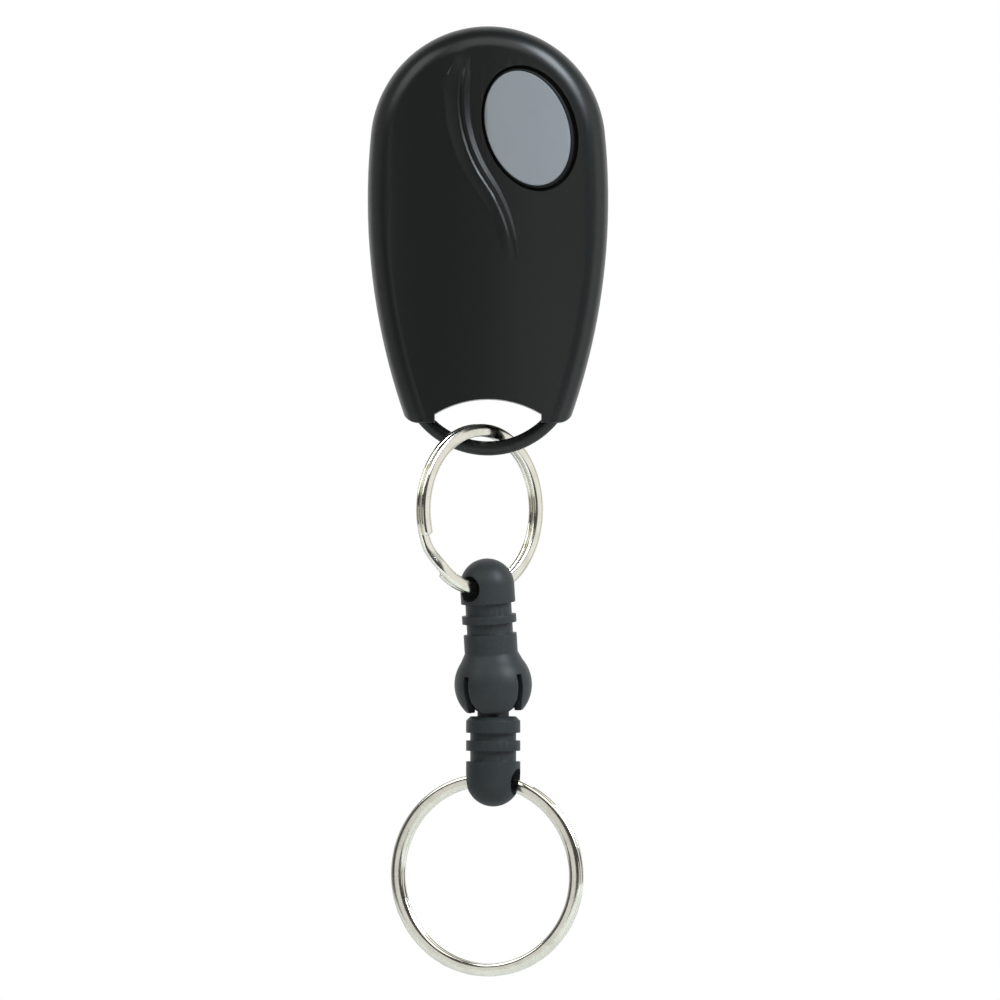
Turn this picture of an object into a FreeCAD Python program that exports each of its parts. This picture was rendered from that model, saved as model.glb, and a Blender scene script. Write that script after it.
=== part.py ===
import FreeCAD, Part
import math
import os

from FreeCAD import Placement, Rotation, Vector

# Key fob transmitter on a short chain: two-part case with one button and a moulded key bail, small split
# ring, snap-apart swivel connector and large key ring. Millimetres. X runs to the right, Z up, and Y from
# the front of the fob to its flat rear face at Y = 0. Heights are from the fob's widest line.

# Case outline
fob_half_width = 16.7
side_arc_radius = 90.8
top_centre_height = 7.6
foot_drop = 30.95
foot_corner_radius = 2.3
foot_corner_bulge = 0.1

# Case depth and rounding
fob_depth = 13.0
rear_shell_depth = 5.5
crown_across_radius = 62.0
crown_lean = 2.0
crown_reference_height = 20.0
front_edge_radius = 3.4
rear_edge_radius = 2.2
wall = 1.4
inner_chamfer = 1.1

# Lap joint between the two shells
lip_thickness = 0.6
lip_length = 0.8
lap_clearance = 0.06

# Key slot and the moulded bail below it
slot_crown_drop = 27.7
slot_arc_radius = 14.25
slot_half_width = 7.4
bail_centre_drop = 22.9
bail_bend_radius = 11.6
bail_rod_diameter = 2.06
bail_rod_sides = 12
bail_root_drop = 28.2
bail_root_clearance = 0.08

# S-shaped ridge on the front shell, two tangent arcs with a groove along the middle
swoosh_start_height = 20.0
swoosh_end_height = -9.2
swoosh_upper_radius = 19.83
swoosh_upper_centre_x = 15.97
swoosh_upper_centre_height = 13.7
swoosh_join_angle = 214.76
swoosh_lower_radius = 22.71
swoosh_stations = 19
ridge_height = 0.5
ridge_left_width = 3.5
ridge_right_width = 2.0
ridge_root_depth = 0.35
crest_spacing = 0.92
crest_width = 0.24
groove_depth = 0.25
crest_tip_share = 0.05
crest_tip_gap = 0.1
ridge_tip_narrowing = 0.42

# Button and its opening
opening_x = 5.8
opening_height = 9.7
opening_half_length = 8.93
opening_half_width = 6.42
opening_tilt = 18.93
button_gap = 0.33
button_shift = 0.15
button_recess = 0.12
button_edge_chamfer = 0.2
button_top_thickness = 1.1
button_face_border = 0.45
button_face_shift = 0.34
button_face_step = 0.3
button_face_thickness = 0.7
button_face_chamfer = 0.14
button_skirt_thickness = 1.0
button_flange_width = 1.0
button_flange_thickness = 0.7
button_flange_clearance = 0.1
button_post_radius = 1.6
button_post_gap = 0.03

# Circuit board
board_thickness = 0.8
board_edge_clearance = 0.35
board_floor_drop = 20.0
locating_pin_radius = 0.6
locating_pin_length = 1.4
pin_hole_clearance = 0.08
post_radius = 1.2
front_posts = ((-8.5, 12.0), (9.5, -12.0))
rib_width = 1.2
rib_length = 3.0
rear_ribs = ((-12.8, 6.0), (12.8, 6.0), (9.0, -18.0), (-9.0, -18.0))

# Lithium coin cell, 20 mm across and 3.2 mm thick, and its two contacts
cell_radius = 10.0
cell_thickness = 3.2
cell_cap_radius = 8.8
cell_cap_thickness = 0.3
cell_drop = 7.5
clip_thickness = 0.25
clip_width = 6.0
clip_foot_length = 1.3
clip_side_gap = 0.3
clip_wall_gap = 0.3
contact_thickness = 0.2
contact_lift = 0.25
contact_length = 9.0
contact_width = 7.0
contact_border = 1.2
finger_width = 1.6

# Tactile switch under the button
switch_side = 6.0
switch_base_height = 2.2
switch_cover_thickness = 0.25
switch_well_radius = 2.35
switch_well_floor = 0.9
switch_stem_radius = 1.7
switch_stem_height = 3.55
switch_stem_clearance = 0.08
switch_flange_radius = 2.15
switch_flange_thickness = 0.45
switch_flange_gap = 0.05
switch_foot_radius = 1.0
switch_travel_gap = 0.28
dome_radius = 2.1
dome_knee_radius = 1.2
dome_rise = 0.35
dome_thickness = 0.08
terminal_width = 0.7
terminal_thickness = 0.2
terminal_height = 0.9
terminal_foot = 1.1
terminal_pitch = 4.5
cover_tab_width = 1.6
cover_tab_length = 1.1

# Parts on the board
antenna_inset = 2.7
antenna_width = 1.3
antenna_thickness = 0.08
antenna_end_drop = 2.0
chip_length = 8.65
chip_width = 3.9
chip_height = 1.5
chip_standoff = 0.12
chip_place = (-2.5, -9.0)
chip_pin_count = 7
chip_pin_pitch = 1.27
chip_pin_width = 0.4
chip_pin_thickness = 0.15
chip_pin_reach = 1.1
saw_radius = 4.1
saw_height = 2.8
saw_flange_radius = 4.5
saw_flange_height = 0.4
saw_height_on_board = 1.1
saw_antenna_gap = 0.7
transistor_place = (-2.6, 14.4)
transistor_size = (2.9, 1.3, 1.0)
transistor_foot_size = (0.4, 0.55, 0.12)
resistor_size = (2.0, 1.25, 0.55)
resistor_places = ((6.2, -8.2), (6.2, -10.4), (6.2, -12.6), (-1.0, -14.8), (2.6, 3.6))
capacitor_size = (2.0, 1.25, 0.9)
capacitor_places = ((-5.2, 16.6), (1.2, 17.0), (6.2, -5.4), (3.6, -15.4))
inductor_size = (2.5, 2.0, 1.8)
inductor_place = (-2.9, 9.6)

# Case screw
screw_drop = 23.1
screw_head_radius = 1.75
screw_head_height = 1.2
screw_shank_radius = 0.8
screw_length = 6.8
screw_cross_width = 0.5
screw_cross_length = 2.2
screw_cross_depth = 0.7
screw_hole_clearance = 0.25
screw_grip_clearance = 0.03
head_recess_radius = 2.0
head_recess_depth = 1.5
rear_boss_radius = 2.7
front_boss_radius = 2.2

# Small split ring, nominal 24 mm, hung on the bail
small_ring_radius = 11.9
small_ring_width = 1.75
small_wire_thickness = 0.75
small_ring_turn = 45.0
small_ring_x = -1.1
small_ring_drop = 43.0
small_ring_bail_offset = -1.22
small_jog_start = 205.0
small_jog_span = 24.0

# Large split ring, nominal 28 mm, for the keys
large_ring_radius = 14.1
large_ring_width = 1.8
large_wire_thickness = 0.8
large_ring_turn = -20.0
large_ring_shift = 0.92
large_jog_start = 86.0
large_jog_span = -22.0

# Both rings: gap between their two turns, and between a turn's end and the crossing
turn_gap = 0.1
coil_end_gap = 7.0

# Snap-apart swivel connector, heights from the centre of its ball
connector_lean = 4.9
ring_hole_offset = 1.4
body_radius = 3.78
waist_radius = 3.2
barrel_radius = 3.7
socket_radius = 5.4
socket_neck_flare = 0.6
socket_cavity_radius = 4.45
socket_cavity_top = 3.3
socket_roof_slope = 32.0
socket_lip_slope = 45.0
socket_tip_drop = 3.7
socket_mouth_radius = 2.95
socket_slot_width = 0.9
socket_slot_top = 1.5
socket_tip_flare = 0.8
socket_flare_height = 1.7
socket_levels = (11.4, 9.7, 8.6, 7.05)
socket_dome_height = 13.8
socket_hole_height = 13.6
socket_hole_radius = 1.8
wire_above_socket_hole = 0.15
ball_clearance = 0.09
ball_top_height = 1.6
ball_neck_radius = 2.2
ball_shoulder_drop = 4.45
ball_shoulder_chamfer = 0.6
ball_levels = (6.7, 7.8, 9.2, 10.7)
ball_body_drop = 13.2
ball_hole_drop = 13.5
ball_hole_radius = 1.85
wire_below_ball_hole = 0.12

OUT = "parts"
THROUGH = 60.0
UP = Vector(0, 0, 1)
BACK = Vector(0, 1, 0)
RIGHT = Vector(1, 0, 0)

# Levels in depth that several pieces share
parting_y = -rear_shell_depth
clip_y = -wall - clip_wall_gap
cell_y = clip_y - clip_thickness
contact_rise = contact_thickness + contact_lift
board_back_y = cell_y - cell_thickness - contact_rise
board_front_y = board_back_y - board_thickness
cavity_floor = -(slot_crown_drop - wall)
outline_tail = -(foot_drop + 3 * wall)
bail_radius = bail_rod_diameter / 2


def cylinder(radius, start, direction, length):
    """Round bar from start along direction."""
    return Part.makeCylinder(radius, length, start, direction)


def block(x, y, z):
    """Box between the two limits given for each axis."""
    return Part.makeBox(x[1] - x[0], y[1] - y[0], z[1] - z[0], Vector(x[0], y[0], z[0]))


def prism(points, direction):
    """Straight-sided solid on a closed outline of points."""
    return Part.Face(Part.makePolygon(list(points) + [points[0]])).extrude(direction)


def arc(start, middle, end):
    """Edge through three points."""
    return Part.Arc(start, middle, end).toShape()


def line(start, end):
    """Straight edge."""
    return Part.makeLine(start, end)


def egg_wire(inset, floor, y):
    """Case outline without its feet, drawn in by inset and closed by a level floor."""
    reach = side_arc_radius - fob_half_width
    centres = math.hypot(reach, top_centre_height)
    side = side_arc_radius - inset
    top = side_arc_radius - centres - inset
    join_x = reach * (side / centres - 1)
    join_z = top_centre_height * side / centres
    floor_x = math.sqrt(side ** 2 - floor ** 2) - reach
    wide_x = side - reach
    peak = Vector(0, y, top_centre_height + top)
    right = [Vector(floor_x, y, floor), Vector(wide_x, y, 0), Vector(join_x, y, join_z)]
    left = [Vector(-p.x, y, p.z) for p in right]
    return Part.Wire([
        arc(*right),
        arc(right[2], peak, left[2]),
        arc(left[2], left[1], left[0]),
        line(left[0], right[0]),
    ])


def egg_prism(inset, floor, front_y, back_y):
    """Case outline as a solid between two depths."""
    return Part.Face(egg_wire(inset, floor, back_y)).extrude(Vector(0, front_y - back_y, 0))


def crown_body(inset):
    """Large round bar whose outer side is the crowned front face, sunk by inset. It leans back towards the foot."""
    lean = math.radians(crown_lean)
    axis = Vector(0, -math.sin(lean), math.cos(lean))
    middle = Vector(0, crown_across_radius / math.cos(lean) - fob_depth, crown_reference_height)
    return Part.makeCylinder(crown_across_radius - inset, 4 * THROUGH, middle - axis * 2 * THROUGH, axis)


def crown_y(x, z):
    """Depth of the crowned front face at a place."""
    lean = math.radians(crown_lean)
    sag = (crown_across_radius - math.sqrt(crown_across_radius ** 2 - x ** 2)) / math.cos(lean)
    return sag - fob_depth - (z - crown_reference_height) * math.tan(lean)


def crown_faces(solid):
    """The faces of a solid that follow the crowned front, outermost first."""
    faces = [f for f in solid.Faces if isinstance(f.Surface, Part.Cylinder) and abs(f.Surface.Axis.z) > 0.5]
    return sorted(faces, key=lambda f: -f.Surface.Radius)


def rim_edges(face, floor):
    """Edges of one face, apart from the one along the floor."""
    return [e for e in face.Edges if e.BoundBox.ZMax > floor + wall]


def bend(solid, edge):
    """Angle through which a solid's surface turns at an edge, in degrees."""
    point = edge.valueAt((edge.FirstParameter + edge.LastParameter) / 2)
    faces = solid.ancestorsOfType(edge, Part.Face)
    normals = [f.normalAt(*f.Surface.parameter(point)) for f in faces]
    return math.degrees(normals[0].getAngle(normals[-1]))


def rounded(solid, edges, radius, levels):
    """Solid with right-angled edges rounded in narrow strips: a chamfer, then smaller ones on the edges it leaves."""
    solid = solid.makeChamfer(radius * (2 - math.sqrt(2)), edges)
    for level in range(1, levels):
        half = math.radians(45 / 2 ** level)
        soft = [e for e in solid.Edges if 0.6 < math.radians(bend(solid, e)) / (2 * half) < 1.4]
        solid = solid.makeChamfer(radius * (math.tan(half) - math.tan(half / 2)), soft)
    return solid


def level_face(solid, y):
    """The flat face of a solid at one depth."""
    flat = [f for f in solid.Faces if f.BoundBox.YLength < 1e-6 and abs(f.BoundBox.YMin - y) < 1e-6]
    return flat[0]


def front_form(inset, floor):
    """Front half of the case as a plain solid, before its edges are rounded."""
    return egg_prism(inset, floor, -2 * fob_depth, parting_y).common(crown_body(inset))


def lower_end_tools():
    """Solids that cut the key slot's arch and the two feet below the case."""
    depth = (-2 * fob_depth, fob_depth)
    below = block((-THROUGH, THROUGH), depth, (-2 * THROUGH, -foot_drop))
    arch_centre = Vector(0, depth[0], -slot_crown_drop - slot_arc_radius)
    arch = cylinder(slot_arc_radius, arch_centre, BACK, depth[1] - depth[0])
    arch = arch.common(block((-slot_half_width, slot_half_width), depth, (-2 * THROUGH, 0)))
    tools = [below, arch]
    reach = side_arc_radius - fob_half_width
    corner_z = foot_corner_radius - foot_drop
    corner_x = math.sqrt((side_arc_radius - foot_corner_radius) ** 2 - corner_z ** 2) - reach
    corner_x += foot_corner_bulge
    for side in (-1, 1):
        centre = Vector(side * corner_x, depth[0], corner_z)
        across = sorted((side * corner_x, side * THROUGH))
        corner = block(across, depth, (-THROUGH, corner_z))
        tools.append(corner.cut(cylinder(foot_corner_radius, centre, BACK, depth[1] - depth[0])))
    return tools


def bail_ring(section):
    """A section on the bail's plane, turned round the bail's bend and cut off at the roots."""
    ring = Part.Face(section).revolve(Vector(0, parting_y, -bail_centre_drop), BACK, 360)
    return ring.common(block((-THROUGH, THROUGH), (-fob_depth, fob_depth), (-THROUGH, -bail_root_drop)))


def bail_rod():
    """Round rod of the key bail, bent to its arc."""
    points = []
    for i in range(bail_rod_sides + 1):
        angle = math.radians((i + 0.5) * 360 / bail_rod_sides)
        out = bail_bend_radius + bail_radius * math.cos(angle)
        points.append(Vector(out, parting_y + bail_radius * math.sin(angle), -bail_centre_drop))
    return bail_ring(Part.makePolygon(points))


def bail_relief():
    """Channel in the front shell for the rod's roots."""
    half = bail_radius + bail_root_clearance
    corners = ((-half, -half), (half, -half), (half, half), (-half, half), (-half, -half))
    points = [Vector(bail_bend_radius + x, parting_y + y, -bail_centre_drop) for x, y in corners]
    return bail_ring(Part.makePolygon(points))


def swoosh_station(share):
    """Place on the S-shaped line and the sideways direction to its left, for a share of its length."""
    centre = Vector(swoosh_upper_centre_x, 0, swoosh_upper_centre_height)
    start_rise = (swoosh_start_height - centre.z) / swoosh_upper_radius
    start = math.pi - math.asin(start_rise)
    join = math.radians(swoosh_join_angle)
    outward = Vector(math.cos(join), 0, math.sin(join))
    lower_centre = centre + outward * (swoosh_upper_radius + swoosh_lower_radius)
    end = math.asin((swoosh_end_height - lower_centre.z) / swoosh_lower_radius)
    upper_length = (join - start) * swoosh_upper_radius
    lower_length = (join - math.pi - end) * swoosh_lower_radius
    along = share * (upper_length + lower_length)
    if along < upper_length:
        angle = start + along / swoosh_upper_radius
        out = Vector(math.cos(angle), 0, math.sin(angle))
        return centre + out * swoosh_upper_radius, out
    angle = join - math.pi - (along - upper_length) / swoosh_lower_radius
    out = Vector(math.cos(angle), 0, math.sin(angle))
    return lower_centre + out * swoosh_lower_radius, out * -1


def ease(value):
    """Smooth step from 0 to 1."""
    value = min(1.0, max(0.0, value))
    return value * value * (3 - 2 * value)


def ridge_section(share):
    """Cross-section of the grooved ridge on the crowned face. Its two crests part from a rounded tip at the top."""
    place, left = swoosh_station(share)
    rise = ridge_height * ease(share / 0.15 + 0.1) * ease((1.06 - share) / 0.45) - 0.04
    dip = groove_depth * ease(share / 0.12) * ease((1.1 - share) / 0.3)
    narrow = 1 - 0.35 * share
    at_tip = 1 - ridge_tip_narrowing * (1 - ease(share / 0.15))
    left_root = ridge_left_width * narrow * at_tip
    right_root = ridge_right_width * narrow * at_tip
    apart = min(1.0, share / crest_tip_share)
    spread = crest_spacing - crest_width - crest_tip_gap
    inner = (crest_tip_gap + spread * math.sqrt(apart * (2 - apart))) / 2
    outer = inner + crest_width

    def point(sideways, height):
        at = place + left * sideways
        return Vector(at.x, crown_y(at.x, at.z) - height, at.z)

    return Part.makePolygon([
        point(left_root, -ridge_root_depth),
        point((left_root + outer) / 2, 0.45 * rise),
        point(outer, rise),
        point(inner, rise),
        point(0, rise - dip),
        point(-inner, rise),
        point(-outer, rise),
        point(-right_root, -ridge_root_depth),
        point(-right_root, -2 * ridge_root_depth),
        point(left_root, -2 * ridge_root_depth),
        point(left_root, -ridge_root_depth),
    ])


def swoosh_ridge():
    """The raised S-shaped ridge with its groove."""
    step = 1 / (swoosh_stations - 1)
    shares = [0.0, 0.25 * step, 0.55 * step] + [i * step for i in range(1, swoosh_stations)]
    return Part.makeLoft([ridge_section(share) for share in shares], True, True)


def oval(grow, shift):
    """Tilted oval prism about the button's opening, grown all round and shifted to the left."""
    tilt = math.radians(opening_tilt)
    centre = Vector(opening_x - shift, 0, opening_height)
    along = Vector(math.sin(tilt), 0, -math.cos(tilt))
    across = Vector(math.cos(tilt), 0, math.sin(tilt))
    ellipse = Part.Ellipse(
        centre + along * (opening_half_length + grow),
        centre + across * (opening_half_width + grow),
        centre,
    )
    return Part.Face(Part.Wire(ellipse.toShape())).extrude(Vector(0, -2 * fob_depth, 0))


def crown_slice(solid, sunk, thickness):
    """Part of a solid that lies in a layer parallel to the crowned face."""
    return solid.common(crown_body(sunk)).cut(crown_body(sunk + thickness))


def front_shell():
    """Front cover with its S-shaped ridge, button opening, posts, screw boss and locating lip."""
    plain = front_form(0, outline_tail)
    outer = rounded(plain, rim_edges(crown_faces(plain)[0], outline_tail), front_edge_radius, 3)
    inner = front_form(wall, cavity_floor)
    inner = inner.makeChamfer(inner_chamfer, rim_edges(crown_faces(inner)[0], cavity_floor))
    shell = outer.fuse(swoosh_ridge())
    for tool in lower_end_tools():
        shell = shell.cut(tool)
    shell = shell.cut(inner)
    lip_y = parting_y + lip_length
    lip = egg_prism(wall - lip_thickness, cavity_floor - lip_thickness, parting_y, lip_y)
    shell = shell.fuse(lip.cut(egg_prism(wall, cavity_floor, parting_y, lip_y)))
    for x, z in front_posts:
        post = cylinder(post_radius, Vector(x, board_front_y, z), BACK * -1, fob_depth)
        pin = cylinder(locating_pin_radius, Vector(x, board_front_y, z), BACK, locating_pin_length)
        shell = shell.fuse(post.common(outer)).fuse(pin)
    boss = cylinder(front_boss_radius, Vector(0, parting_y, -screw_drop), BACK * -1, fob_depth)
    shell = shell.fuse(boss.common(outer))
    pilot_length = screw_length - (rear_shell_depth - head_recess_depth) + screw_hole_clearance
    pilot_radius = screw_shank_radius + screw_grip_clearance
    shell = shell.cut(cylinder(pilot_radius, Vector(0, parting_y, -screw_drop), BACK * -1, pilot_length))
    shell = shell.cut(oval(0, 0).cut(crown_body(wall + inner_chamfer)))
    return shell.cut(bail_relief()).removeSplitter()


def rear_shell():
    """Rear cover with the moulded key bail, board ribs and the screw's recess."""
    shell = egg_prism(0, outline_tail, parting_y, 0)
    shell = rounded(shell, rim_edges(level_face(shell, 0), outline_tail), rear_edge_radius, 2)
    inner = egg_prism(wall, cavity_floor, parting_y, -wall)
    inner = inner.makeChamfer(inner_chamfer, rim_edges(level_face(inner, -wall), cavity_floor))
    for tool in lower_end_tools():
        shell = shell.cut(tool)
    shell = shell.cut(inner)
    recess_inset = wall - lip_thickness - lap_clearance
    recess_floor = cavity_floor - lip_thickness - lap_clearance
    shell = shell.cut(egg_prism(recess_inset, recess_floor, parting_y, parting_y + lip_length + lap_clearance))
    for x, z in rear_ribs:
        across = (x - rib_width / 2, x + rib_width / 2)
        shell = shell.fuse(block(across, (board_back_y, -wall / 2), (z - rib_length / 2, z + rib_length / 2)))
    shell = shell.fuse(cylinder(rear_boss_radius, Vector(0, parting_y, -screw_drop), BACK, rear_shell_depth))
    hole_radius = screw_shank_radius + screw_hole_clearance
    shell = shell.cut(cylinder(hole_radius, Vector(0, parting_y, -screw_drop), BACK, rear_shell_depth))
    shell = shell.cut(cylinder(head_recess_radius, Vector(0, -head_recess_depth, -screw_drop), BACK, rear_shell_depth))
    return shell.fuse(bail_rod()).removeSplitter()


def case_screw():
    """Screw with a cross recess, from the rear shell into the front shell's boss."""
    seat = Vector(0, -head_recess_depth, -screw_drop)
    head = cylinder(screw_head_radius, seat, BACK, screw_head_height)
    rim = [e for e in head.Edges if e.BoundBox.YMin > seat.y + screw_head_height - 1e-6]
    head = head.makeChamfer(screw_head_height / 3, rim)
    screw = head.fuse(cylinder(screw_shank_radius, seat, BACK * -1, screw_length))
    depth = (seat.y + screw_head_height - screw_cross_depth, seat.y + 2 * screw_head_height)
    long_half = screw_cross_length / 2
    short_half = screw_cross_width / 2
    for x, z in ((long_half, short_half), (short_half, long_half)):
        screw = screw.cut(block((-x, x), depth, (-screw_drop - z, -screw_drop + z)))
    return screw


def button_face_oval():
    """Outline of the grey face, set to the left in the cap."""
    return oval(-button_gap - button_face_border, button_face_shift)


def button_face():
    """Grey oval face let into the cap, standing a little above the cap's border."""
    face = crown_slice(button_face_oval(), button_recess, button_face_thickness)
    return face.makeChamfer(button_face_chamfer, crown_faces(face)[0].Edges)


def button_cap():
    """Oval push button: border and seat for its face, hollow skirt, retaining flange and the post over the switch."""
    body = crown_slice(oval(-button_gap, button_shift), button_recess + button_face_step, 3 * wall)
    body = body.makeChamfer(button_edge_chamfer, crown_faces(body)[0].Edges)
    flange_top = wall + button_flange_clearance
    flange_bottom = flange_top + button_flange_thickness
    flange = crown_slice(oval(button_flange_width - button_gap, button_shift), flange_top, button_flange_thickness)
    body = body.cut(crown_body(flange_bottom)).fuse(flange)
    hollow = oval(-button_gap - button_skirt_thickness, button_shift)
    body = body.cut(hollow.common(crown_body(button_recess + button_top_thickness)))
    x, z = switch_centre()
    post_tip = Vector(x, board_front_y - switch_stem_height - button_post_gap, z)
    post = cylinder(button_post_radius, post_tip, BACK * -1, fob_depth)
    body = body.fuse(post.common(crown_body(button_recess + button_top_thickness / 2)))
    seat = button_face_oval().cut(crown_body(button_recess + button_face_thickness))
    return body.cut(seat).removeSplitter()


def switch_centre():
    """Place of the switch on the board, under the button's post."""
    return opening_x - button_shift, opening_height


def circuit_board():
    """Board on the case outline, with holes for the locating pins."""
    board = egg_prism(wall + board_edge_clearance, -board_floor_drop, board_front_y, board_back_y)
    for x, z in front_posts:
        hole_radius = locating_pin_radius + pin_hole_clearance
        board = board.cut(cylinder(hole_radius, Vector(x, board_front_y, z), BACK, board_thickness))
    return board


def loop_antenna():
    """Copper loop printed along the board's edge, open at its lower ends."""
    top_y = board_front_y - antenna_thickness
    outer = egg_prism(antenna_inset, -antenna_end_drop, top_y, board_front_y)
    return outer.cut(egg_prism(antenna_inset + antenna_width, -3 * antenna_end_drop, top_y, board_front_y))


def switch_base():
    """Plastic base of the tactile switch with its round well."""
    x, z = switch_centre()
    half = switch_side / 2
    top = board_front_y - switch_base_height
    base = block((x - half, x + half), (top, board_front_y), (z - half, z + half))
    return base.cut(cylinder(switch_well_radius, Vector(x, board_front_y - switch_well_floor, z), BACK * -1, switch_base_height))


def switch_cover():
    """Steel cover plate with a hole for the stem and two bent tabs."""
    x, z = switch_centre()
    half = switch_side / 2
    low = board_front_y - switch_base_height
    high = low - switch_cover_thickness
    cover = block((x - half, x + half), (high, low), (z - half, z + half))
    hole_radius = switch_stem_radius + switch_stem_clearance
    cover = cover.cut(cylinder(hole_radius, Vector(x, high, z), BACK, switch_cover_thickness))
    tab = cover_tab_width / 2
    for side in (-1, 1):
        edge = sorted((z + side * half, z + side * (half + switch_cover_thickness)))
        cover = cover.fuse(block((x - tab, x + tab), (high, low + cover_tab_length), edge))
    return cover.removeSplitter()


def switch_terminals():
    """Four bent legs soldered to the board."""
    cx, cz = switch_centre()
    half_x = switch_side / 2
    half_z = terminal_width / 2
    legs = []
    for sx in (-1, 1):
        for sz in (-1, 1):
            shape = [
                (half_x, terminal_height), (half_x + terminal_thickness, terminal_height),
                (half_x + terminal_thickness, terminal_thickness), (half_x + terminal_foot, terminal_thickness),
                (half_x + terminal_foot, 0), (half_x, 0),
            ]
            low = cz + sz * terminal_pitch / 2 - half_z
            points = [Vector(cx + sx * x, board_front_y - height, low) for x, height in shape]
            legs.append(prism(points, UP * terminal_width))
    return legs


def switch_dome():
    """Snap dome on the floor of the switch's well."""
    knee = 0.8 * dome_rise
    upper = [(0, dome_rise), (dome_knee_radius, knee), (dome_radius, 0)]
    points = [(r, h + dome_thickness) for r, h in upper] + upper[::-1]
    dome = Part.Face(Part.makePolygon([Vector(r, 0, h) for r, h in points + points[:1]])).revolve(Vector(), UP, 360)
    x, z = switch_centre()
    dome.Placement = Placement(Vector(x, board_front_y - switch_well_floor, z), Rotation(RIGHT, 90))
    return dome


def switch_plunger():
    """Stem of the switch, held under the cover by its flange."""
    x, z = switch_centre()
    flange_top = switch_base_height - switch_flange_gap
    foot = switch_well_floor + dome_thickness + dome_rise + switch_travel_gap

    def rod(radius, low, high):
        return cylinder(radius, Vector(x, board_front_y - low, z), BACK * -1, high - low)

    stem = rod(switch_stem_radius, flange_top - switch_flange_thickness, switch_stem_height)
    flange = rod(switch_flange_radius, flange_top - switch_flange_thickness, flange_top)
    return stem.fuse(flange).fuse(rod(switch_foot_radius, foot, flange_top)).removeSplitter()


def coin_cell():
    """Coin cell with its raised negative cap towards the board."""
    low = board_back_y + contact_rise
    cap = cylinder(cell_cap_radius, Vector(0, low, -cell_drop), BACK, cell_cap_thickness)
    can_start = Vector(0, low + cell_cap_thickness, -cell_drop)
    return cylinder(cell_radius, can_start, BACK, cell_thickness - cell_cap_thickness).fuse(cap)


def battery_positive_clip():
    """Strap over the coin cell with a leg and a soldered foot each side."""
    inner = cell_radius + clip_side_gap
    outer = inner + clip_thickness
    foot = inner + clip_foot_length
    foot_y = board_back_y + clip_thickness
    half = [(foot, board_back_y), (inner, board_back_y), (inner, cell_y)]
    outline = [(-x, y) for x, y in half] + half[::-1]
    outline += [(foot, foot_y), (outer, foot_y), (outer, clip_y), (-outer, clip_y), (-outer, foot_y), (-foot, foot_y)]
    z = -cell_drop - clip_width / 2
    return prism([Vector(x, y, z) for x, y in outline], UP * clip_width)


def battery_negative_contact():
    """Contact frame on the board with two sprung fingers against the cell."""
    half_x = contact_length / 2
    half_z = contact_width / 2
    depth = (board_back_y, board_back_y + contact_thickness)
    frame = block((-half_x, half_x), depth, (-cell_drop - half_z, -cell_drop + half_z))
    hole_x = half_x - contact_border
    hole_z = half_z - contact_border
    frame = frame.cut(block((-hole_x, hole_x), depth, (-cell_drop - hole_z, -cell_drop + hole_z)))
    tip = board_back_y + contact_rise
    under = tip - contact_thickness
    root = half_x - contact_border / 2
    for side in (-1, 1):
        profile = [
            (root, board_back_y), (root, board_back_y + contact_thickness), (hole_x / 2, tip),
            (0.2, tip), (0.2, under), (hole_x / 2, under), (hole_x, board_back_y),
        ]
        low = -cell_drop + (side - 1) * finger_width / 2 + side * finger_width / 8
        points = [Vector(side * x, y, low) for x, y in profile]
        frame = frame.fuse(prism(points, UP * finger_width))
    return frame.removeSplitter()


def on_board(place, size, standoff=0.0):
    """Rectangular part on the board's front, centred on a place."""
    x, z = place
    length, width, height = size
    depth = (board_front_y - standoff - height, board_front_y - standoff)
    return block((x - length / 2, x + length / 2), depth, (z - width / 2, z + width / 2))


def encoder_chip():
    """Plastic body of the encoder, with its row-one corner mark."""
    body = on_board(chip_place, (chip_length, chip_width, chip_height), chip_standoff)
    x, z = chip_place
    mark = Vector(x - chip_length / 2 + chip_width / 5, board_front_y - chip_standoff - chip_height, z - chip_width / 4)
    return body.cut(cylinder(chip_width / 10, mark, BACK, chip_standoff))


def encoder_pins():
    """Two rows of bent legs beside the encoder."""
    middle = chip_standoff + chip_height / 2
    edge = chip_width / 2
    thin = chip_pin_thickness
    shape = [
        (edge, middle + thin / 2), (edge + 0.45 * chip_pin_reach, middle + thin / 2), (edge + 0.6 * chip_pin_reach, thin),
        (edge + chip_pin_reach, thin), (edge + chip_pin_reach, 0), (edge + 0.45 * chip_pin_reach, 0),
        (edge + 0.3 * chip_pin_reach, middle - thin / 2), (edge, middle - thin / 2),
    ]
    x0, z0 = chip_place
    first = x0 - (chip_pin_count - 1) * chip_pin_pitch / 2 - chip_pin_width / 2
    pins = []
    for side in (-1, 1):
        for i in range(chip_pin_count):
            x = first + i * chip_pin_pitch
            points = [Vector(x, board_front_y - h, z0 + side * z) for z, h in shape]
            pins.append(prism(points, RIGHT * chip_pin_width))
    return pins


def saw_resonator():
    """Round metal can of the radio-frequency resonator."""
    x = antenna_inset + antenna_width + saw_antenna_gap + saw_flange_radius - fob_half_width
    z = saw_height_on_board
    flange = cylinder(saw_flange_radius, Vector(x, board_front_y, z), BACK * -1, saw_flange_height)
    return flange.fuse(cylinder(saw_radius, Vector(x, board_front_y, z), BACK * -1, saw_height)).removeSplitter()


def rf_transistor():
    """Small three-legged transistor."""
    foot_length, foot_width, foot_height = transistor_foot_size
    body = on_board(transistor_place, transistor_size, foot_height / 2)
    x, z = transistor_place
    out_z = transistor_size[1] / 2 + foot_width / 2
    spread = transistor_size[0] / 3
    for dx, dz in ((-spread, -out_z), (spread, -out_z), (0, out_z)):
        body = body.fuse(on_board((x + dx, z + dz), transistor_foot_size))
    return body.removeSplitter()


def chip_group(places, size):
    """Identical surface-mount parts."""
    return [on_board(place, size) for place in places]


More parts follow.
